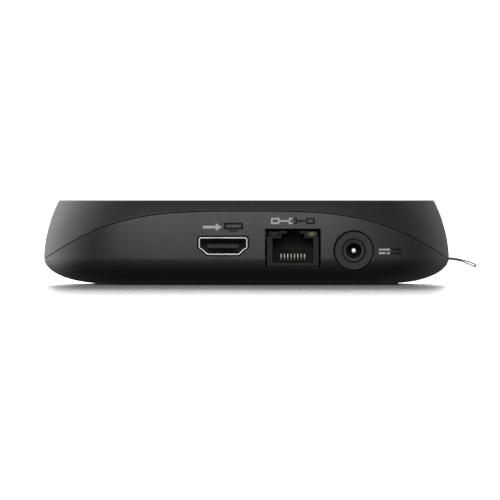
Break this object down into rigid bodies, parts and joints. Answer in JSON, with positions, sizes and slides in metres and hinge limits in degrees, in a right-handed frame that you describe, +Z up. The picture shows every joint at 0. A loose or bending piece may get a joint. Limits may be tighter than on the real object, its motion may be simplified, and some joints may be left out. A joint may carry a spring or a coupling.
{
  "type": "streaming media player",
  "caption": "Low rounded-square set-top streaming box with an arched rear socket panel, side cloth tag, sprung finder button and a rubber base pad.",
  "frame": {"origin": "centre of the base pad's bottom face, on the table", "axes": "+Z up, sockets face +Y, the front faces -Y, the cloth tag leaves the -X side"},
  "size_m": [0.133, 0.1246, 0.0257],
  "materials": {
    "case_black": "satin, fine moulded grain",
    "pad_rubber": "matte",
    "screw_steel": "black zinc",
    "window_tint": "polished, dark infra-red tint",
    "light_pipe": "clear",
    "tag_fabric": "woven ribbon",
    "socket_steel": "nickel plated",
    "socket_plastic": "moulded",
    "contact_gold": "gold plated",
    "light_green": "unlit diffuser",
    "light_yellow": "unlit diffuser",
    "chip_black": "moulded epoxy",
    "switch_plunger": "moulded",
    "board_green": "solder mask",
    "thermal_pad": "soft",
    "heat_sink_aluminium": "extruded",
    "inductor_ferrite": "pressed ferrite",
    "capacitor_can": "drawn can",
    "antenna_copper": "stamped copper alloy",
    "lead_jacket": "smooth",
    "print_grey": "pad-printed ink"
  },
  "bodies": {
    "case": {"upper_shell": "case_black", "lower_shell": "case_black", "base_pad": "pad_rubber", "ir_window": "window_tint", "status_light_pipe": "light_pipe", "fabric_tag": "tag_fabric", "video_socket_shell": "socket_steel", "video_socket_insulator": "socket_plastic", "video_socket_contacts": "contact_gold", "network_socket_housing": "socket_plastic", "network_socket_contacts": "contact_gold", "network_light_green": "light_green", "network_light_yellow": "light_yellow", "power_socket_housing": "socket_plastic", "power_socket_pin": "socket_steel", "power_socket_sleeve_contact": "socket_steel", "usb_socket_shell": "socket_steel", "usb_socket_insulator": "socket_plastic", "usb_socket_contacts": "contact_gold", "finder_switch_body": "chip_black", "reset_switch_body": "chip_black", "main_board": "board_green", "main_processor": "chip_black", "thermal_pad": "thermal_pad", "heat_sink": "heat_sink_aluminium", "memory_chip_1": "chip_black", "memory_chip_2": "chip_black", "flash_chip": "chip_black", "wireless_shield_can": "socket_steel", "network_transformer": "chip_black", "power_inductor": "inductor_ferrite", "capacitor_1": "capacitor_can", "capacitor_2": "capacitor_can", "capacitor_3": "capacitor_can", "timing_crystal": "socket_steel", "ir_receiver": "window_tint", "status_led": "light_pipe", "antenna_left": "antenna_copper", "antenna_right": "antenna_copper", "antenna_lead_left": "lead_jacket", "antenna_lead_right": "lead_jacket", "case_screw_1": "screw_steel", "case_screw_2": "screw_steel", "case_screw_3": "screw_steel", "case_screw_4": "screw_steel", "board_screw_1": "screw_steel", "board_screw_2": "screw_steel", "board_screw_3": "screw_steel"},
    "finder_button": {"finder_button": "case_black"},
    "finder_plunger": {"finder_switch_plunger": "switch_plunger"},
    "reset_plunger": {"reset_switch_plunger": "switch_plunger"}
  },
  "joints": [
    {"name": "finder_press", "type": "slide", "parent": "case", "child": "finder_button", "axis": [-1, 0, 0], "range_m": [0, 0.0003], "stiffness_N_per_m": 400},
    {"name": "finder_plunger_travel", "type": "slide", "parent": "case", "child": "finder_plunger", "axis": [-1, 0, 0], "range_m": [0, 0.0003]},
    {"name": "reset_press", "type": "slide", "parent": "case", "child": "reset_plunger", "axis": [0, 0, 1], "range_m": [0, 0.00025], "stiffness_N_per_m": 400}
  ],
  "couplings": [
    {"joint": "finder_plunger_travel", "follows": "finder_press", "ratio": 1}
  ]
}
